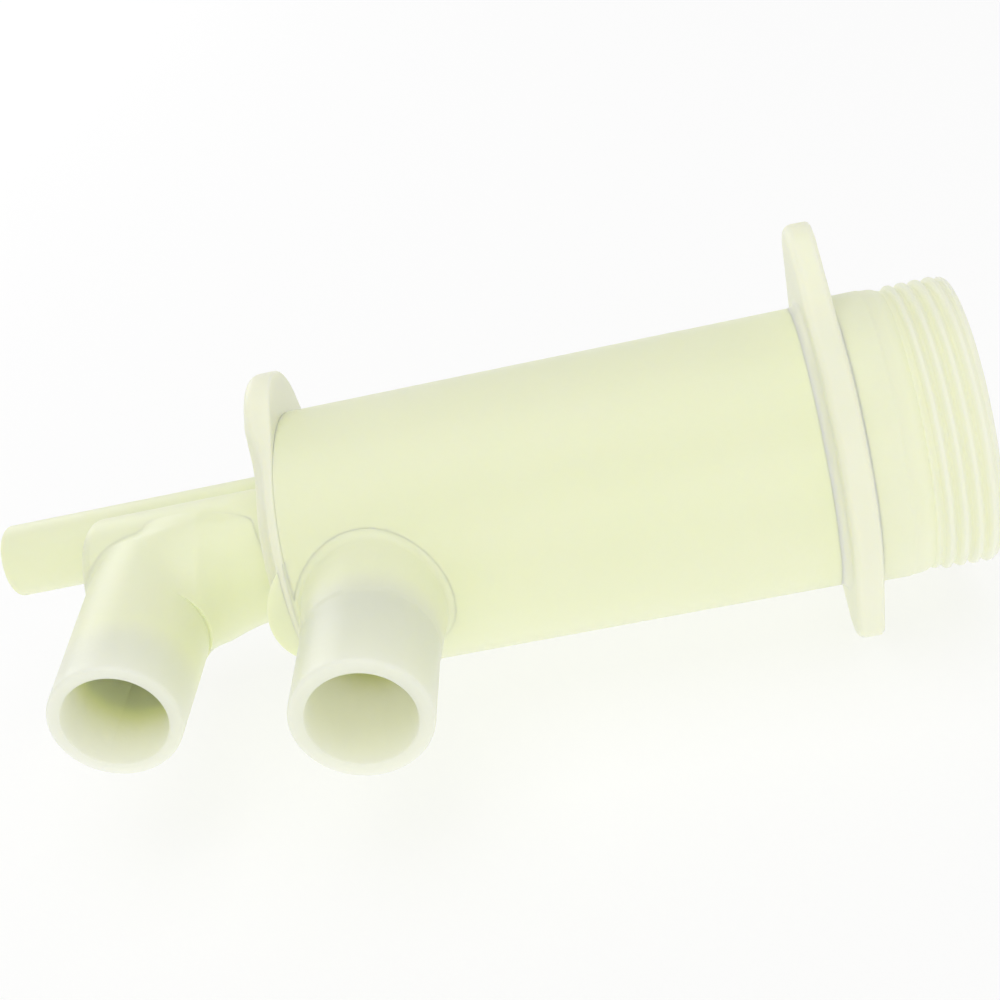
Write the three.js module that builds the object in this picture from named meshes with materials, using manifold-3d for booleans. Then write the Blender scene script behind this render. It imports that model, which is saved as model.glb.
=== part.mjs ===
// A moulded marine fill body: a threaded neck for a deck, a two-lobed deck flange, a wide barrel, an end
// plate with one ear, a narrow branch tube on the same axis, two open hose ports and one vent tube.
// Millimetres. +X runs along the barrel towards the threaded neck, the hose ports point along -Y, +Z is up.
// The origin is on the barrel's axis, in the face of the deck flange that the deck rests on.
import * as THREE from 'three';
import { mergeVertices } from 'three/addons/utils/BufferGeometryUtils.js';
import Module from 'manifold-3d';

// ---- driving dimensions ----
const PIPE_PITCH = 25.4 / 11.5; // 1 1/2 inch pipe thread, 11.5 turns an inch
const CREST_RADIUS = 23.8;
const ROOT_RADIUS = 22.8;
const BARREL_RADIUS = 23.4;
const BARREL_BORE = 20.6;
const COLLAR_RADIUS = 24; // plain length of the neck, through the flange and the deck
const JOINT_GAP = 0.3; // left where a curved root is cut to its neighbour

const NECK_END = 19.5; // along X from the deck face
const THREAD_START = 8.8;
const FLANGE_THICKNESS = 4.5;
const BARREL_END = -92.2; // barrel's far end, where the end plate starts
const PLATE_THICKNESS = 5;

const LOBE_TILT = THREE.MathUtils.degToRad(22.5); // both ears lean back from +Z towards +Y
const FLANGE_RADIUS = 27.1;
const FLANGE_LOBE_RADIUS = 9;
const FLANGE_UPPER_REACH = 36.8;
const FLANGE_LOWER_REACH = 33.5;
const PLATE_RADIUS = 23.4;
const PLATE_LOBE_RADIUS = 12.4;
const PLATE_REACH = 30.7;

const BRANCH_RADIUS = 11.5;
const BRANCH_BORE = 8.6;
const BRANCH_END = -128.6;
const BRANCH_CAP = 2.4;
const CAP_CORNER = 2.2;

const VENT_RADIUS = 6.6;
const VENT_BORE = 4.7;
const VENT_OFFSET = 14.7; // along +Y from the barrel's axis
const VENT_END = -152;

const PORT_RADIUS = 10.9;
const PORT_BORE = 8.3;
const FRONT_PORT = { x: -79.9, bossRadius: 11.8, bossEnd: -33.6, end: -51.2 };
const REAR_PORT = { x: -120.1, bossRadius: 11.2, bossEnd: -19.5, end: -40.9 };

const BIG_SIDES = 48;
const SMALL_SIDES = 36;
const THREAD_SIDES = 40;
const SAMPLES_PER_TURN = 5;

// ---- materials ----
const natural = { color: 0xe6ebc8, roughness: 0.42, metalness: 0 };
const pale = { color: 0xedf0d6, roughness: 0.38, metalness: 0 };
const milky = { color: 0xe4e9c9, roughness: 0.45, metalness: 0 };

function mesh(name, geometry, finish) {
  const made = new THREE.Mesh(geometry, new THREE.MeshStandardMaterial(finish));
  made.name = name;
  return made;
}

// ---- solids for cutting and joining ----
const wasm = await Module();
wasm.setup();

function toSolid(geometry) {
  const bare = geometry.clone();
  bare.deleteAttribute('normal');
  bare.deleteAttribute('uv');
  const merged = mergeVertices(bare, 1e-4);
  const vertProperties = new Float32Array(merged.attributes.position.array);
  const triVerts = new Uint32Array(merged.index.array);
  return new wasm.Manifold(new wasm.Mesh({ numProp: 3, vertProperties, triVerts }));
}

function toGeometry(solid) {
  const { vertProperties, triVerts } = solid.getMesh();
  const geometry = new THREE.BufferGeometry();
  geometry.setAttribute('position', new THREE.BufferAttribute(new Float32Array(vertProperties), 3));
  geometry.setIndex(new THREE.BufferAttribute(new Uint32Array(triVerts), 1));
  const flat = geometry.toNonIndexed();
  flat.computeVertexNormals();
  return flat;
}

function cut(geometry, ...tools) {
  const solid = tools.reduce((left, tool) => left.subtract(toSolid(tool)), toSolid(geometry));
  return toGeometry(solid);
}

// ---- round shapes; a profile is a list of [radius, distance along the axis] ----
function turned(profile, sides) {
  const points = profile.map(([radius, along]) => new THREE.Vector2(radius, along));
  return new THREE.LatheGeometry(points, sides);
}

function alongX(geometry) {
  return geometry.rotateZ(-Math.PI / 2);
}

function tubeProfile(from, to, outer, inner, endOuter = outer) {
  return [[inner, from], [outer, from], [endOuter, to], [inner, to], [inner, from]];
}

function tubeX(from, to, outer, inner, sides) {
  return alongX(turned(tubeProfile(from, to, outer, inner), sides));
}

function rodX(from, to, radius, sides, y = 0) {
  const profile = [[0, from], [radius, from], [radius, to], [0, to]];
  return alongX(turned(profile, sides)).translate(0, y, 0);
}

function rodY(from, to, radius, sides, x) {
  const profile = [[0, from], [radius, from], [radius, to], [0, to]];
  return turned(profile, sides).translate(x, 0, 0);
}

// ---- threaded neck: one helical ridge over the root tube, fading out at both ends ----
function ridgeHeight(turns) {
  const phase = turns - Math.floor(turns);
  const fromCrest = Math.abs(phase - 0.5) * 2; // 0 on the crest, 1 in the root
  return 1 - THREE.MathUtils.smoothstep(fromCrest, 0.1, 0.9);
}

function neckRadius(along, angle) {
  const turns = along / PIPE_PITCH - angle / (2 * Math.PI);
  const runOut = THREE.MathUtils.smoothstep(along, THREAD_START, THREAD_START + PIPE_PITCH);
  return ROOT_RADIUS + (CREST_RADIUS - ROOT_RADIUS) * ridgeHeight(turns) * runOut;
}

function threadedNeck() {
  const steps = Math.round((NECK_END - THREAD_START) / PIPE_PITCH * SAMPLES_PER_TURN);
  const stations = [[THREAD_START, BARREL_BORE]];
  for (let i = 0; i <= steps; i += 1) {
    stations.push([THREE.MathUtils.lerp(THREAD_START, NECK_END, i / steps), null]);
  }
  stations.push([NECK_END, BARREL_BORE]);
  const positions = [];
  for (const [along, fixed] of stations) {
    for (let k = 0; k < THREAD_SIDES; k += 1) {
      const angle = k / THREAD_SIDES * 2 * Math.PI;
      const radius = fixed ?? neckRadius(along, angle);
      positions.push(along, radius * Math.cos(angle), radius * Math.sin(angle));
    }
  }
  const index = [];
  for (let i = 0; i < stations.length; i += 1) {
    const here = i * THREAD_SIDES;
    const next = ((i + 1) % stations.length) * THREAD_SIDES;
    for (let k = 0; k < THREAD_SIDES; k += 1) {
      const after = (k + 1) % THREAD_SIDES;
      index.push(here + k, here + after, next + after);
      index.push(here + k, next + after, next + k);
    }
  }
  const geometry = new THREE.BufferGeometry();
  geometry.setAttribute('position', new THREE.Float32BufferAttribute(positions, 3));
  geometry.setIndex(index);
  geometry.computeVertexNormals();
  return geometry;
}

// ---- lobed plates: a round middle drawn out by straight tangents to a rounded ear ----
function lobedOutline(middle, lobe, upperReach, lowerReach) {
  const up = upperReach - lobe;
  const upAngle = Math.acos((middle - lobe) / up);
  const right = Math.PI / 2;
  const shape = new THREE.Shape();
  shape.absarc(0, up, lobe, right - upAngle, right + upAngle, false);
  if (lowerReach > middle) {
    const down = lowerReach - lobe;
    const downAngle = Math.acos((middle - lobe) / down);
    shape.absarc(0, 0, middle, right + upAngle, 3 * right - downAngle, false);
    shape.absarc(0, -down, lobe, 3 * right - downAngle, 3 * right + downAngle, false);
    shape.absarc(0, 0, middle, 3 * right + downAngle, 5 * right - upAngle, false);
  } else {
    shape.absarc(0, 0, middle, right + upAngle, 5 * right - upAngle, false);
  }
  shape.closePath();
  return shape;
}

const acrossX = new THREE.Matrix4().makeBasis(
  new THREE.Vector3(0, 1, 0),
  new THREE.Vector3(0, 0, 1),
  new THREE.Vector3(1, 0, 0),
);

function plate(outline, from, thickness) {
  const settings = { depth: thickness, bevelEnabled: false, curveSegments: 14 };
  const slab = new THREE.ExtrudeGeometry(outline, settings).rotateZ(-LOBE_TILT);
  return slab.applyMatrix4(acrossX).translate(from, 0, 0);
}

function deckFlange() {
  const outline = lobedOutline(FLANGE_RADIUS, FLANGE_LOBE_RADIUS, FLANGE_UPPER_REACH, FLANGE_LOWER_REACH);
  const slab = plate(outline, -FLANGE_THICKNESS, FLANGE_THICKNESS);
  return cut(slab, rodX(-FLANGE_THICKNESS - 1, 1, COLLAR_RADIUS, BIG_SIDES));
}

function endPlate() {
  const outline = lobedOutline(PLATE_RADIUS, PLATE_LOBE_RADIUS, PLATE_REACH, 0);
  const from = BARREL_END - PLATE_THICKNESS;
  const slab = plate(outline, from, PLATE_THICKNESS);
  const branchHole = rodX(from - 1, BARREL_END + 1, BRANCH_BORE, SMALL_SIDES);
  const ventHole = rodX(from - 1, BARREL_END + 1, VENT_BORE, SMALL_SIDES, VENT_OFFSET);
  return cut(slab, branchHole, ventHole);
}

// ---- barrel, branch and vent ----
function barrel() {
  const shell = tubeX(BARREL_END, -FLANGE_THICKNESS, BARREL_RADIUS, BARREL_BORE, BIG_SIDES);
  return cut(shell, rodY(-BARREL_RADIUS - 1, 0, PORT_BORE, SMALL_SIDES, FRONT_PORT.x));
}

function weldFillet() {
  const reach = 2.4;
  const profile = [
    [BARREL_RADIUS + 0.02, -FLANGE_THICKNESS],
    [BARREL_RADIUS + 0.02, -FLANGE_THICKNESS - reach],
    [BARREL_RADIUS + reach * 0.3, -FLANGE_THICKNESS - reach * 0.3],
    [BARREL_RADIUS + reach, -FLANGE_THICKNESS],
    [BARREL_RADIUS + 0.02, -FLANGE_THICKNESS],
  ];
  return alongX(turned(profile, BIG_SIDES));
}

function branchTube() {
  const from = BARREL_END - PLATE_THICKNESS;
  const shell = tubeX(BRANCH_END, from, BRANCH_RADIUS, BRANCH_BORE, SMALL_SIDES);
  const portHole = rodY(-BRANCH_RADIUS - 1, 0, PORT_BORE, SMALL_SIDES, REAR_PORT.x);
  const ventBore = rodX(BRANCH_END - 1, from + 1, VENT_BORE, SMALL_SIDES, VENT_OFFSET);
  return cut(shell, portHole, ventBore);
}

function branchCap() {
  const end = BRANCH_END - BRANCH_CAP;
  const profile = [[0, end], [BRANCH_RADIUS - CAP_CORNER, end]];
  for (let i = 1; i <= 4; i += 1) {
    const turn = i / 4 * Math.PI / 2;
    const radius = BRANCH_RADIUS - CAP_CORNER + CAP_CORNER * Math.sin(turn);
    profile.push([radius, end + CAP_CORNER - CAP_CORNER * Math.cos(turn)]);
  }
  profile.push([BRANCH_RADIUS, BRANCH_END], [0, BRANCH_END]);
  const disc = alongX(turned(profile, SMALL_SIDES));
  return cut(disc, rodX(end - 1, BRANCH_END + 1, VENT_RADIUS + JOINT_GAP, SMALL_SIDES, VENT_OFFSET));
}

function ventTube() {
  const from = BARREL_END - PLATE_THICKNESS;
  const shell = tubeX(VENT_END, from, VENT_RADIUS, VENT_BORE, SMALL_SIDES).translate(0, VENT_OFFSET, 0);
  return cut(shell, rodX(BRANCH_END - JOINT_GAP, from + 1, BRANCH_RADIUS + JOINT_GAP, SMALL_SIDES));
}

// ---- hose ports: a boss shaped to the tube it grows from, then a plain hose tube ----
function portBoss(port, hostRadius) {
  const profile = tubeProfile(port.bossEnd, 0, PORT_RADIUS, PORT_BORE, port.bossRadius);
  const boss = turned(profile, SMALL_SIDES).translate(port.x, 0, 0);
  const host = rodX(port.x - 40, port.x + 40, hostRadius + JOINT_GAP, BIG_SIDES);
  return cut(boss, host);
}

function portTube(port) {
  const profile = tubeProfile(port.end, port.bossEnd, PORT_RADIUS, PORT_BORE);
  return turned(profile, SMALL_SIDES).translate(port.x, 0, 0);
}

// ---- assembly ----
const fillBody = new THREE.Group();

const neck = new THREE.Group();
neck.add(mesh('threaded_neck', threadedNeck(), pale));
neck.add(mesh('neck_collar', tubeX(-FLANGE_THICKNESS, THREAD_START, COLLAR_RADIUS, BARREL_BORE, BIG_SIDES), pale));
neck.add(mesh('deck_flange', deckFlange(), pale));
neck.add(mesh('flange_weld', weldFillet(), pale));

const body = new THREE.Group();
body.add(mesh('barrel', barrel(), natural));
body.add(mesh('end_plate', endPlate(), pale));
body.add(mesh('branch_tube', branchTube(), natural));
body.add(mesh('branch_end_cap', branchCap(), natural));
body.add(mesh('vent_tube', ventTube(), natural));

const ports = new THREE.Group();
ports.add(mesh('front_port_boss', portBoss(FRONT_PORT, BARREL_RADIUS), milky));
ports.add(mesh('front_port_tube', portTube(FRONT_PORT), milky));
ports.add(mesh('rear_port_boss', portBoss(REAR_PORT, BRANCH_RADIUS), milky));
ports.add(mesh('rear_port_tube', portTube(REAR_PORT), milky));

fillBody.add(neck, body, ports);

export default fillBody;
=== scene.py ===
"""Looks of the marine fill body: smooth moulded pieces in milky natural plastic."""
import math

import bmesh
import bpy
import numpy as np
from mathutils import Matrix, Vector


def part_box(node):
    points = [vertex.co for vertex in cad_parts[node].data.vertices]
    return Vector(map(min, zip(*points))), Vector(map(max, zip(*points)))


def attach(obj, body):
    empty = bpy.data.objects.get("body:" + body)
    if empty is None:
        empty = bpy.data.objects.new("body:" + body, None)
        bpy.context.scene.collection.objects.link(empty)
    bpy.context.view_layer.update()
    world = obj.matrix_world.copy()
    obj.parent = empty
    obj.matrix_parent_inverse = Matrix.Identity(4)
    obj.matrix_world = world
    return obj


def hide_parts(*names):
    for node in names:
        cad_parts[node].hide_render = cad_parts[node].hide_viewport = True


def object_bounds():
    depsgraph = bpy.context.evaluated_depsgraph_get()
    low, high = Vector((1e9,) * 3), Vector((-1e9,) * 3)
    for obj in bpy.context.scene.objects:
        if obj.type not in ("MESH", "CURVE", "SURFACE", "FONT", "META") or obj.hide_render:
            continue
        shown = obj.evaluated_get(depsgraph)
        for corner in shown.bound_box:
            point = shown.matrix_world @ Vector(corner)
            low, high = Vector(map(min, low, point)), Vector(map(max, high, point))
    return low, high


MM = 0.001
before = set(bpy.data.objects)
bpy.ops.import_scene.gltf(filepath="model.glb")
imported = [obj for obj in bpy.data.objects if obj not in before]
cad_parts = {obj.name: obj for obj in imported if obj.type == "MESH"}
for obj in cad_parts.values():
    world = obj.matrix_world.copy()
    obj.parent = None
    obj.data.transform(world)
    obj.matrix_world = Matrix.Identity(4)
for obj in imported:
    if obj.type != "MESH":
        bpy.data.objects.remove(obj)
cad_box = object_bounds()


def reach(node, axis):
    """The lowest and highest coordinate of a CAD node along one axis, in millimetres."""
    low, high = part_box(node)
    return low[axis] / MM, high[axis] / MM


X, Y, Z = 0, 1, 2

# ---- sizes in millimetres, read from the frame ----
BARREL_FROM, BARREL_TO = reach("barrel", X)
BARREL_RADIUS = reach("barrel", Z)[1]
NECK_END = reach("threaded_neck", X)[1]
COLLAR_END = reach("neck_collar", X)[1]
COLLAR_RADIUS = reach("neck_collar", Z)[1]
CREST_RADIUS = reach("threaded_neck", Z)[1]
FLANGE_FROM, FLANGE_TO = reach("deck_flange", X)
PLATE_FROM, PLATE_TO = reach("end_plate", X)
BRANCH_RADIUS = reach("branch_tube", Z)[1]
BRANCH_FROM = reach("branch_end_cap", X)[0]
VENT_FROM = reach("vent_tube", X)[0]
VENT_RADIUS = reach("vent_tube", Z)[1]
VENT_OFFSET = reach("vent_tube", Y)[1] - VENT_RADIUS

# ---- sizes in millimetres that the frame's boxes don't give ----
BARREL_BORE = 20.6
BRANCH_BORE = 8.6
VENT_BORE = 4.7
PORT_BORE = 8.3
ROOT_RADIUS = 23.15
PIPE_PITCH = 25.4 / 11.5
EAR_LEAN = math.radians(22.5)
FLANGE_OUTLINE = {"middle": 27.1, "ear": 9.0, "upper": 36.8, "lower": 33.5}
PLATE_OUTLINE = {"middle": BARREL_RADIUS, "ear": 12.4, "upper": 30.7, "lower": 0.0}

FLOOR_SHADE, FLOOR_GLOW = 0.35, 0.65
# Outlines are drawn in by this share, so that no piece passes the frame's box.
OUTLINE_SHARE = 0.9999
# A blended root sits this far under its host's skin, in millimetres.
ROOT_SINK = 0.012
FLANK_POINTS = 20
CLOSED_WALL = 2.4
BRANCH_CORNER = 2.3

SHARP_ANGLE = math.radians(40)
MERGE_DISTANCE = 1e-7

ROUND_SIDES = 192
PORT_SIDES = 144


# ---- mesh helpers ----
def mesh_object(name, points, faces):
    """A smooth-shaded object from points in millimetres, with edges over 40 degrees kept sharp."""
    mesh = bpy.data.meshes.new(name)
    mesh.from_pydata((np.asarray(points) * MM).tolist(), [], faces)
    mesh.validate()
    made = bpy.data.objects.new(name, mesh)
    bpy.context.scene.collection.objects.link(made)
    finish_surface(made)
    return made


def finish_surface(made):
    """Faces outwards, smooth shading, and sharp edges marked by angle."""
    work = bmesh.new()
    work.from_mesh(made.data)
    bmesh.ops.remove_doubles(work, verts=work.verts, dist=MERGE_DISTANCE)
    bmesh.ops.recalc_face_normals(work, faces=work.faces)
    for face in work.faces:
        face.smooth = True
    for edge in work.edges:
        bend = edge.calc_face_angle(0.0)
        edge.smooth = bend < SHARP_ANGLE
    work.to_mesh(made.data)
    work.free()


def ring_faces(rings, sides, looped):
    """Quads between rings of equal length; the last ring joins the first where looped."""
    faces = []
    for i in range(rings if looped else rings - 1):
        here, after = i * sides, (i + 1) % rings * sides
        for k in range(sides):
            side = (k + 1) % sides
            faces.append((here + k, here + side, after + side, after + k))
    return faces


def ring_object(name, rings, looped=True):
    """A closed body from rings of as many points each; open stacks are closed with end caps."""
    rings = np.asarray(rings)
    count, sides = rings.shape[:2]
    faces = ring_faces(count, sides, looped)
    if not looped:
        faces.append(tuple(range(sides)))
        faces.append(tuple(range((count - 1) * sides, count * sides)))
    return mesh_object(name, rings.reshape(-1, 3), faces)


def rounded(corners, steps=6):
    """A closed outline through corners (a, b, radius), each turned by an arc of that radius."""
    path = []
    for i, (a, b, radius) in enumerate(corners):
        here = np.array([a, b], float)
        if radius <= 0:
            path.append(here)
            continue
        before = np.array(corners[i - 1][:2], float) - here
        after = np.array(corners[(i + 1) % len(corners)][:2], float) - here
        before /= np.linalg.norm(before)
        after /= np.linalg.norm(after)
        half = math.acos(np.clip(before @ after, -1, 1)) / 2
        reach_back = radius / math.tan(half)
        centre = here + (before + after) / np.linalg.norm(before + after) * radius / math.sin(half)
        start = here + before * reach_back - centre
        end = here + after * reach_back - centre
        sweep = math.pi - 2 * half
        for k in range(steps + 1):
            share = k / steps
            mixed = math.sin((1 - share) * sweep) * start + math.sin(share * sweep) * end
            mixed = mixed / math.sin(sweep)
            path.append(centre + mixed)
    return np.array(path)


def circle_angles(sides):
    return np.arange(sides) / sides * 2 * math.pi


def ring_x(x, radius, angle):
    """One ring about the X axis; radius may differ from point to point."""
    return np.stack([np.full(len(angle), x), radius * np.cos(angle), radius * np.sin(angle)], -1)


def turned_x(profile, sides, y=0.0):
    """Rings about an axis along X from (x, radius) pairs."""
    angle = circle_angles(sides)
    return np.array([
        np.stack([np.full(sides, x), y + radius * np.cos(angle), radius * np.sin(angle)], -1)
        for x, radius in profile
    ])


def turned_y(profile, sides, x):
    """Rings about an axis along Y from (y, radius) pairs."""
    angle = circle_angles(sides)
    return np.array([
        np.stack([x + radius * np.cos(angle), np.full(sides, y), radius * np.sin(angle)], -1)
        for y, radius in profile
    ])


def cut_with(made, *tools):
    """Cuts closed tool objects out of made, and removes them."""
    for tool in tools:
        step = made.modifiers.new("cut", "BOOLEAN")
        step.operation = "DIFFERENCE"
        step.solver = "EXACT"
        step.object = tool
    graph = bpy.context.evaluated_depsgraph_get()
    mesh = bpy.data.meshes.new_from_object(made.evaluated_get(graph))
    made.modifiers.clear()
    made.data = mesh
    for tool in tools:
        bpy.data.objects.remove(tool)
    finish_surface(made)
    return made


def rod_x(x0, x1, radius, y=0.0):
    return ring_object("rod", turned_x([(x0, radius), (x1, radius)], PORT_SIDES, y), looped=False)


def rod_y(y0, y1, radius, x):
    return ring_object("rod", turned_y([(y0, radius), (y1, radius)], PORT_SIDES, x), looped=False)


# ---- lobed plates ----
def arc(centre, radius, start, end, steps):
    angle = np.linspace(start, end, steps)
    normal = np.stack([np.cos(angle), np.sin(angle)], -1)
    return np.asarray(centre) + normal * radius, normal


def lobed_outline(middle, ear, upper, lower):
    """Points and outward normals of a round plate drawn out to one or two leaning ears."""
    up = upper - ear
    turn = math.acos((middle - ear) / up)
    quarter = math.pi / 2
    parts = [arc((0, up), ear, quarter - turn, quarter + turn, 48)]
    if lower > middle:
        down = lower - ear
        back = math.acos((middle - ear) / down)
        parts.append(arc((0, 0), middle, quarter + turn, 3 * quarter - back, 40))
        parts.append(arc((0, -down), ear, 3 * quarter - back, 3 * quarter + back, 48))
        parts.append(arc((0, 0), middle, 3 * quarter + back, 5 * quarter - turn, 40))
    else:
        parts.append(arc((0, 0), middle, quarter + turn, 5 * quarter - turn, 110))
    cosine, sine = math.cos(EAR_LEAN), math.sin(EAR_LEAN)
    lean = np.array([[cosine, -sine], [sine, cosine]])
    # The straight flanks between the arcs get points of their own, so that round rings stay round.
    filled = []
    for i, (points, normals) in enumerate(parts):
        after_points, after_normals = parts[(i + 1) % len(parts)]
        share = np.linspace(0, 1, FLANK_POINTS + 2)[1:-1, None]
        filled.append((points, normals))
        filled.append((points[-1] * (1 - share) + after_points[0] * share,
                       normals[-1] * (1 - share) + after_normals[0] * share))
    points = np.concatenate([part[0] for part in filled]) * OUTLINE_SHARE @ lean
    normals = np.concatenate([part[1] for part in filled]) @ lean
    return points, normals


def plate_ring(outline, x, inset):
    """One ring along the outline, drawn in by inset; x and inset may differ from point to point."""
    points, normals = outline
    count = len(points)
    drawn = points - normals * np.broadcast_to(inset, count)[:, None]
    return np.column_stack([np.broadcast_to(x, count), drawn])


def round_ring(outline, x, radius):
    """One circular ring whose points face the outline's points."""
    points = outline[0]
    drawn = points / np.linalg.norm(points, axis=1)[:, None] * radius
    return np.column_stack([np.full(len(drawn), x), drawn])


def edge_rings(outline, x_from, x_to, edge_from, edge_to, steps=7):
    """The plate's rim between its two faces, each edge turned by (length along X, inset)."""
    rings = []
    for k in range(steps + 1):
        turn = k / steps * math.pi / 2
        rings.append(plate_ring(outline, x_from + edge_from[0] * (1 - math.cos(turn)),
                                edge_from[1] * (1 - math.sin(turn))))
    for k in range(steps + 1):
        turn = k / steps * math.pi / 2
        rings.append(plate_ring(outline, x_to - edge_to[0] * (1 - math.sin(turn)),
                                edge_to[1] * (1 - math.cos(turn))))
    return rings


# ---- distance fields for the blended roots ----
def tube_field(points, radius):
    return np.hypot(points[:, 1], points[:, 2]) - radius


def port_field(points, x, profile):
    """A round port along Y whose radius follows profile, a list of (y, radius)."""
    along, radii = zip(*profile)
    return np.hypot(points[:, 0] - x, points[:, 2]) - np.interp(points[:, 1], along, radii)


def capped_field(points, x0, x1, radius, corner):
    along = np.abs(points[:, 0] - (x0 + x1) / 2) - (x1 - x0) / 2 + corner
    out = np.hypot(points[:, 1], points[:, 2]) - radius + corner
    inside = np.minimum(np.maximum(along, out), 0)
    return inside + np.hypot(np.maximum(along, 0), np.maximum(out, 0)) - corner


def blend_fields(a, b, width):
    share = np.clip(0.5 + 0.5 * (b - a) / width, 0, 1)
    return b * (1 - share) + a * share - width * share * (1 - share)


def slope(field, points):
    step = 1e-3
    sides = [(field(points + offset) - field(points - offset)) / (2 * step)
             for offset in np.eye(3) * step]
    return np.stack(sides, -1)


def settle(field, points, rounds=8):
    """Moves points onto the field's surface."""
    for _ in range(rounds):
        normal = slope(field, points)
        points = points - normal * (field(points) / (normal ** 2).sum(-1))[:, None]
    return points


def skirt(field, ring, x, steps, step):
    """Rings that walk from a port's wall down to its host tube and out along it."""
    rings = [settle(field, ring)]
    for _ in range(steps):
        points = rings[-1]
        away = np.stack([points[:, 0] - x, np.zeros(len(points)), points[:, 2]], -1)
        away /= np.linalg.norm(away, axis=1)[:, None]
        wanted = away + np.array([0.0, 1.0, 0.0])
        normal = slope(field, points)
        normal /= np.linalg.norm(normal, axis=1)[:, None]
        along = wanted - normal * (wanted * normal).sum(-1)[:, None]
        along /= np.linalg.norm(along, axis=1)[:, None]
        rings.append(settle(field, points + along * step))
    return rings


# ---- pieces ----
def ridge(turns):
    """Height of the thread's ridge, 0 in the root and 1 on the crest."""
    phase = turns - np.floor(turns)
    from_crest = np.abs(phase - 0.5) * 2
    share = np.clip((from_crest - 0.16) / 0.7, 0, 1)
    return 1 - share * share * (3 - 2 * share)


def make_neck():
    """Plain collar, thread relief, helical pipe thread and rim, round the open bore."""
    angle = circle_angles(ROUND_SIDES)
    corner = 0.7
    outer = [(FLANGE_FROM, COLLAR_RADIUS), (5.3, COLLAR_RADIUS),
             (5.5, COLLAR_RADIUS - 0.03), (5.75, COLLAR_RADIUS - 0.12), (6.1, COLLAR_RADIUS - 0.16),
             (7.2, COLLAR_RADIUS - 0.22), (7.9, COLLAR_RADIUS - 0.36), (8.4, COLLAR_RADIUS - 0.62),
             (COLLAR_END, ROOT_RADIUS + 0.1)]
    rings = [turned_x([(FLANGE_FROM, BARREL_BORE)], ROUND_SIDES)[0]]
    rings += list(turned_x(outer, ROUND_SIDES))
    samples = 120
    for k in range(1, samples + 1):
        x = COLLAR_END + (NECK_END - corner - COLLAR_END) * k / samples
        run_in = np.clip((x - COLLAR_END) / PIPE_PITCH * 1.5, 0, 1)
        height = ridge((x - 0.15) / PIPE_PITCH - angle / (2 * math.pi)) * run_in
        radius = ROOT_RADIUS + (CREST_RADIUS - ROOT_RADIUS) * height
        rings.append(ring_x(x, radius, angle))
    last = np.hypot(rings[-1][:, 1], rings[-1][:, 2])
    for k in range(1, 5):
        turn = k / 4 * math.pi / 2
        x = NECK_END - corner + corner * math.sin(turn)
        radius = np.minimum(last, CREST_RADIUS) - corner * (1 - math.cos(turn))
        rings.append(ring_x(x, radius, angle))
    inner = [(NECK_END, BARREL_BORE + 0.5), (NECK_END - 0.15, BARREL_BORE + 0.15),
             (NECK_END - 0.5, BARREL_BORE)]
    rings += list(turned_x(inner, ROUND_SIDES))
    return ring_object("neck", rings)


def make_deck_flange():
    """The two-lobed flange with a moulded fillet round the barrel and rounded edges."""
    outline = lobed_outline(**FLANGE_OUTLINE)
    fillet = 1.5
    neck_fillet = 0.5
    rings = [round_ring(outline, FLANGE_FROM, COLLAR_RADIUS),
             round_ring(outline, FLANGE_FROM, BARREL_RADIUS - 0.1),
             round_ring(outline, FLANGE_FROM - fillet, BARREL_RADIUS - 0.1)]
    for k in range(9):
        turn = k / 8 * math.pi / 2
        rings.append(round_ring(outline, FLANGE_FROM - fillet * (1 - math.sin(turn)),
                                BARREL_RADIUS + 0.01 + fillet * (1 - math.cos(turn))))
    rings += edge_rings(outline, FLANGE_FROM, FLANGE_TO, (1.4, 1.4), (0.9, 0.9))
    for k in range(6):
        turn = k / 5 * math.pi / 2
        rings.append(round_ring(outline, FLANGE_TO + neck_fillet * (1 - math.cos(turn)),
                                COLLAR_RADIUS + 0.01 + neck_fillet * (1 - math.sin(turn))))
    rings.append(round_ring(outline, FLANGE_TO + neck_fillet, COLLAR_RADIUS - 0.1))
    rings.append(round_ring(outline, FLANGE_TO, COLLAR_RADIUS - 0.1))
    return ring_object("deck_flange", rings)


def make_barrel(port_x):
    shell = rounded([(BARREL_FROM, BARREL_BORE, 0), (BARREL_FROM, BARREL_RADIUS, 0),
                     (BARREL_TO, BARREL_RADIUS, 0), (BARREL_TO, BARREL_BORE, 0)])
    made = ring_object("barrel", turned_x(shell, ROUND_SIDES))
    return cut_with(made, rod_y(-BARREL_RADIUS - 2, 0, PORT_BORE, port_x))


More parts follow.
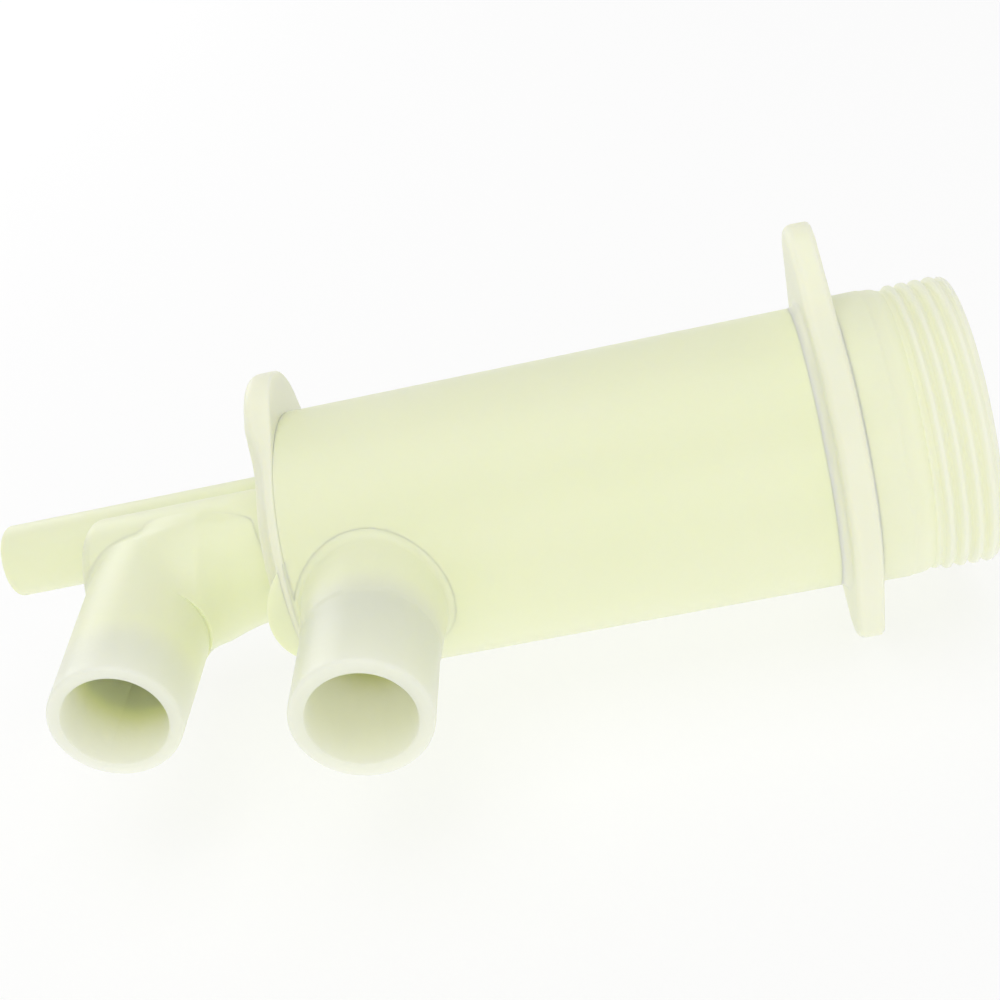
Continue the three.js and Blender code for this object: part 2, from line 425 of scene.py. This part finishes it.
def make_end_plate():
    """The plate that closes the barrel, drawn up to one ear, with a hole for each of its tubes."""
    outline = lobed_outline(**PLATE_OUTLINE)
    out = np.linalg.norm(outline[0], axis=1)
    in_ear = np.clip((out - BARREL_RADIUS) / 3.0, 0, 1)
    # The side towards the vent is slightly rounded too, so that the plate covers the vent's root.
    behind = np.clip((outline[0][:, 0] + 6.0) / 8.0, 0, 1)
    in_ear = np.maximum(in_ear * in_ear * (3 - 2 * in_ear), behind * behind * (3 - 2 * behind))
    # The front lower edge falls away deeply: (length along X, inset) from the far face.
    below = [(0, 6.4), (0.5, 6.2), (1.1, 5.2), (1.9, 4.3),
             (2.5, 2.6), (3.0, 0.8), (3.3, 0.2), (3.6, 0)]
    rings = [round_ring(outline, PLATE_FROM, 1.0)]
    for k, (along, inset) in enumerate(below):
        turn = k / (len(below) - 1) * math.pi / 2
        x = along + (1.9 * (1 - math.cos(turn)) - along) * in_ear
        drawn = inset + (2.0 * (1 - math.sin(turn)) - inset) * in_ear
        rings.append(plate_ring(outline, PLATE_FROM + x, drawn))
    for k in range(5):
        turn = k / 4 * math.pi / 2
        rings.append(plate_ring(outline, PLATE_TO - 0.5 * (1 - math.sin(turn)),
                                0.5 * (1 - math.cos(turn))))
    rings.append(round_ring(outline, PLATE_TO, 1.0))
    made = ring_object("end_plate", rings, looped=False)
    return cut_with(made, rod_x(PLATE_FROM - 1, PLATE_TO + 1, BRANCH_BORE),
                    rod_x(PLATE_FROM - 1, PLATE_TO + 1, VENT_BORE, VENT_OFFSET))


def make_branch(port_x):
    """The coaxial tube with its rounded closed end and a small fillet on the end plate."""
    root = 1.2
    inside = BRANCH_FROM + CLOSED_WALL
    profile = rounded([(PLATE_FROM, BRANCH_BORE, 0), (PLATE_FROM, BRANCH_RADIUS + root, 0),
                       (PLATE_FROM - root, BRANCH_RADIUS, root * 0.9),
                       (BRANCH_FROM, BRANCH_RADIUS, BRANCH_CORNER),
                       (BRANCH_FROM, 0.05, 0), (inside, 0.05, 0), (inside, BRANCH_BORE, 0.8)])
    made = ring_object("branch", turned_x(profile[::-1], PORT_SIDES))
    return cut_with(made, rod_y(-BRANCH_RADIUS - 2, 0, PORT_BORE, port_x))


def make_vent():
    profile = rounded([(PLATE_FROM, VENT_BORE, 0), (PLATE_FROM, VENT_RADIUS, 0),
                       (VENT_FROM, VENT_RADIUS, 0.7), (VENT_FROM, VENT_BORE, 0.4)])
    made = ring_object("vent_tube", turned_x(profile, PORT_SIDES, VENT_OFFSET))
    return cut_with(made, rod_x(BRANCH_FROM + 0.5, PLATE_FROM + 1, BRANCH_RADIUS - 0.6))


def make_port(name, x, end, profile, field, skirt_from, host_bore, bore_span, steps, step):
    """A hose port: cut end, tube that follows profile, root blended on its host, open bore."""
    along, radii = zip(*profile)
    radius = radii[0]
    corner = 0.6
    outer = [(end, radius - corner)]
    for k in range(1, 6):
        turn = k / 5 * math.pi / 2
        outer.append((end + corner * (1 - math.cos(turn)), radius - corner * (1 - math.sin(turn))))
    for y in np.arange(end + corner + 0.4, skirt_from, 0.4):
        outer.append((y, float(np.interp(y, along, radii))))
    rings = list(turned_y(outer, PORT_SIDES, x))
    skirts = skirt(field, rings[-1], x, steps, step)
    rings += skirts
    edge = skirts[-1]
    inward = slope(field, edge)
    inward /= np.linalg.norm(inward, axis=1)[:, None]
    rings.append(edge - inward * 0.4)
    rings.append(turned_y([(-host_bore * 0.3, 0.5)], PORT_SIDES, x)[0])
    made = ring_object(name, rings, looped=False)
    bore = turned_y([(end - 1, PORT_BORE + 0.4), (end, PORT_BORE + 0.4),
                     (end + 0.12, PORT_BORE + 0.12), (end + 0.4, PORT_BORE), (0, PORT_BORE)], PORT_SIDES, x)
    return cut_with(made, ring_object("bore", bore, looped=False), rod_x(*bore_span, host_bore))


def make_front_port(x):
    end = reach("front_port_tube", Y)[0]
    radius = reach("front_port_tube", Z)[1]
    shoulder = reach("front_port_tube", Y)[1]
    profile = [(end, radius - 0.05), (shoulder - 0.25, radius), (shoulder + 0.25, radius + 0.22),
               (-BARREL_RADIUS, 11.8), (0, 11.8)]

    def field(points):
        port = port_field(points, x, profile)
        return blend_fields(tube_field(points, BARREL_RADIUS), port, 1.3) + ROOT_SINK

    return make_port("front_port", x, end, profile, field, -BARREL_RADIUS - 2.2, BARREL_BORE,
                     (BARREL_FROM - 1, BARREL_TO), 22, 0.35)


def make_rear_port(x):
    end = reach("rear_port_tube", Y)[0]
    profile = [(end, 10.55), (-19.5, 11.0), (-12, 11.15), (-5.5, 11.1), (-1, 9.4), (3, 9.4)]

    def field(points):
        host = capped_field(points, BRANCH_FROM, PLATE_FROM + 20, BRANCH_RADIUS, BRANCH_CORNER)
        inner_side = np.clip((points[:, 0] - x) / 11.0, 0, 1)
        width = 0.8 + 11.5 * inner_side
        return blend_fields(host, port_field(points, x, profile), width) + ROOT_SINK

    return make_port("rear_port", x, end, profile, field, -BRANCH_RADIUS - 7, BRANCH_BORE,
                     (BRANCH_FROM + CLOSED_WALL, PLATE_TO), 40, 0.45)


# ---- materials ----
def plastic(name, colour, shade, roughness, grain, depth):
    """Milky natural polymer: light scatters under a softly glossy, slightly uneven skin.

    depth is (axis, start, stop, shallow, deep) in millimetres. How far the light travels inside
    grows from shallow at start to deep at stop. It is kept shallow near joints with other pieces,
    where a real depth would show as a grey seam; it isn't a measured property of the material.
    """
    made = bpy.data.materials.new(name)
    made.use_nodes = True
    nodes, links = made.node_tree.nodes, made.node_tree.links
    shader = nodes["Principled BSDF"]
    shader.inputs["Subsurface Weight"].default_value = 0.85
    shader.inputs["Subsurface Radius"].default_value = (1.0, 0.96, 0.72)
    shader.inputs["IOR"].default_value = 1.5
    place = nodes.new("ShaderNodeTexCoord")
    axis, start, stop, shallow, deep = depth
    if deep > shallow:
        spread = nodes.new("ShaderNodeSeparateXYZ")
        links.new(place.outputs["Object"], spread.inputs[0])
        rise = nodes.new("ShaderNodeMapRange")
        rise.interpolation_type = "SMOOTHSTEP"
        rise.inputs["From Min"].default_value = start * MM
        rise.inputs["From Max"].default_value = stop * MM
        rise.inputs["To Min"].default_value = shallow * MM
        rise.inputs["To Max"].default_value = deep * MM
        links.new(spread.outputs[axis], rise.inputs["Value"])
        links.new(rise.outputs["Result"], shader.inputs["Subsurface Scale"])
    else:
        shader.inputs["Subsurface Scale"].default_value = shallow * MM
    cloud = nodes.new("ShaderNodeTexNoise")
    cloud.inputs["Scale"].default_value = 38
    cloud.inputs["Detail"].default_value = 4
    links.new(place.outputs["Object"], cloud.inputs["Vector"])
    tint = nodes.new("ShaderNodeMix")
    tint.data_type = "RGBA"
    tint.inputs["A"].default_value = (*shade, 1)
    tint.inputs["B"].default_value = (*colour, 1)
    links.new(cloud.outputs["Fac"], tint.inputs["Factor"])
    links.new(tint.outputs["Result"], shader.inputs["Base Color"])
    gloss = nodes.new("ShaderNodeMapRange")
    gloss.inputs["To Min"].default_value = roughness - 0.05
    gloss.inputs["To Max"].default_value = roughness + 0.07
    links.new(cloud.outputs["Fac"], gloss.inputs["Value"])
    links.new(gloss.outputs["Result"], shader.inputs["Roughness"])
    skin = nodes.new("ShaderNodeTexNoise")
    skin.inputs["Scale"].default_value = grain
    skin.inputs["Detail"].default_value = 3
    links.new(place.outputs["Object"], skin.inputs["Vector"])
    bump = nodes.new("ShaderNodeBump")
    bump.inputs["Strength"].default_value = 0.12
    bump.inputs["Distance"].default_value = 0.0003
    links.new(skin.outputs["Fac"], bump.inputs["Height"])
    links.new(bump.outputs["Normal"], shader.inputs["Normal"])
    return made


def linear(red, green, blue):
    """A display colour, 0 to 255, as the linear value that a shader takes."""
    return tuple(((c / 255 + 0.055) / 1.055) ** 2.4 for c in (red, green, blue))


# ---- stage ----
def make_floor(low):
    size = 6.0
    mesh = bpy.data.meshes.new("floor")
    corners = [(-size, -size, low), (size, -size, low), (size, size, low), (-size, size, low)]
    mesh.from_pydata(corners, [], [(0, 1, 2, 3)])
    floor = bpy.data.objects.new("floor", mesh)
    bpy.context.scene.collection.objects.link(floor)
    made = bpy.data.materials.new("floor_white")
    made.use_nodes = True
    shader = made.node_tree.nodes["Principled BSDF"]
    shader.inputs["Base Color"].default_value = (FLOOR_SHADE, FLOOR_SHADE, FLOOR_SHADE, 1)
    shader.inputs["Roughness"].default_value = 0.9
    shader.inputs["Emission Color"].default_value = (1, 1, 1, 1)
    shader.inputs["Emission Strength"].default_value = FLOOR_GLOW
    mesh.materials.append(made)


def make_light(name, centre, azimuth, elevation, distance, size, watts):
    """A square soft box that looks at the object; azimuth 0 is in front, 90 towards +X."""
    lamp = bpy.data.lights.new(name, "AREA")
    lamp.size = size
    lamp.energy = watts
    made = bpy.data.objects.new(name, lamp)
    turn, lift = math.radians(azimuth), math.radians(elevation)
    flat = math.cos(lift)
    away = Vector((math.sin(turn) * flat, -math.cos(turn) * flat, math.sin(lift)))
    made.location = centre + away * distance
    made.rotation_euler = (-away).to_track_quat("-Z", "Y").to_euler()
    bpy.context.scene.collection.objects.link(made)


def make_world(strength):
    world = bpy.data.worlds.new("studio")
    world.use_nodes = True
    back = world.node_tree.nodes["Background"]
    back.inputs["Color"].default_value = (1, 1, 1, 1)
    back.inputs["Strength"].default_value = strength
    bpy.context.scene.world = world


def make_camera():
    """A 57 mm view from above and a little to the neck's side, rolled to lift the neck."""
    place = Vector((-26.4, -230.1, 137.8)) * MM
    azimuth, elevation, roll = math.radians(8.1), math.radians(30.38), math.radians(15.21)
    back = Vector((math.sin(azimuth) * math.cos(elevation),
                   -math.cos(azimuth) * math.cos(elevation), math.sin(elevation)))
    right = Vector((0, 0, 1)).cross(back).normalized()
    up = back.cross(right)
    turned_up = up * math.cos(roll) + right * math.sin(roll)
    turned_right = right * math.cos(roll) - up * math.sin(roll)
    data = bpy.data.cameras.new("camera")
    data.lens = 56.9
    data.sensor_width = 36
    data.clip_start = 0.01
    made = bpy.data.objects.new("camera", data)
    bpy.context.scene.collection.objects.link(made)
    turn = Matrix((turned_right, turned_up, back)).transposed()
    made.matrix_world = Matrix.Translation(place) @ turn.to_4x4()
    bpy.context.scene.camera = made


# ---- build ----
make_camera()
front_x = sum(reach("front_port_tube", X)) / 2
rear_x = sum(reach("rear_port_tube", X)) / 2

# The neck is the same plastic as the barrel, with its colour painted a little lighter as a painted
# highlight for the light the neck catches.
neck_look_painted_lighter = plastic("neck_look_painted_lighter", linear(244, 247, 219), linear(241, 245, 213), 0.40, 900,
                    (X, 5.0, 12.0, 0.6, 6.0))
# The flange and end plate are the same plastic as the barrel, with their colour painted lighter as a
# painted highlight for the light the thin ears catch.
flange_look_painted_lighter = plastic("flange_look_painted_lighter", linear(246, 248, 225), linear(243, 246, 219), 0.36, 800,
                      (Z, 24.0, 32.0, 0.4, 3.0))
barrel_look = plastic("barrel_look", linear(243, 247, 214), linear(240, 245, 207), 0.38, 700,
                      (X, 0.0, 1.0, 0.6, 0.6))
port_look = plastic("port_look", linear(243, 247, 215), linear(240, 245, 208), 0.34, 700,
                    (Y, -25.0, -38.0, 0.5, 16.0))

pieces = [
    (make_neck(), neck_look_painted_lighter, "neck_plastic", ("threaded_neck", "neck_collar")),
    (make_deck_flange(), flange_look_painted_lighter, "flange_plastic", ("deck_flange", "flange_weld")),
    (make_barrel(front_x), barrel_look, "barrel_plastic", ("barrel",)),
    (make_end_plate(), flange_look_painted_lighter, "flange_plastic", ("end_plate",)),
    (make_branch(rear_x), barrel_look, "barrel_plastic", ("branch_tube", "branch_end_cap")),
    (make_vent(), barrel_look, "barrel_plastic", ("vent_tube",)),
    (make_front_port(front_x), port_look, "port_plastic", ("front_port_boss", "front_port_tube")),
    (make_rear_port(rear_x), port_look, "port_plastic", ("rear_port_boss", "rear_port_tube")),
]
for piece, look, slot, nodes in pieces:
    piece.name = "shown_" + piece.name
    piece.data.materials.clear()
    piece.data.materials.append(look)
    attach(piece, "root")
    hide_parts(*nodes)

lowest = cad_box[0][Z]
middle = (cad_box[0] + cad_box[1]) / 2
make_floor(lowest - 0.0005)
make_world(0.6)
make_light("front", middle, 5, 12, 1.2, 1.0, 3.0)
make_light("top", middle, 0, 84, 1.2, 1.2, 4.2)
make_light("rear_left", middle, -143, 19, 1.0, 0.5, 1.1)
bpy.context.scene.view_settings.view_transform = "Standard"
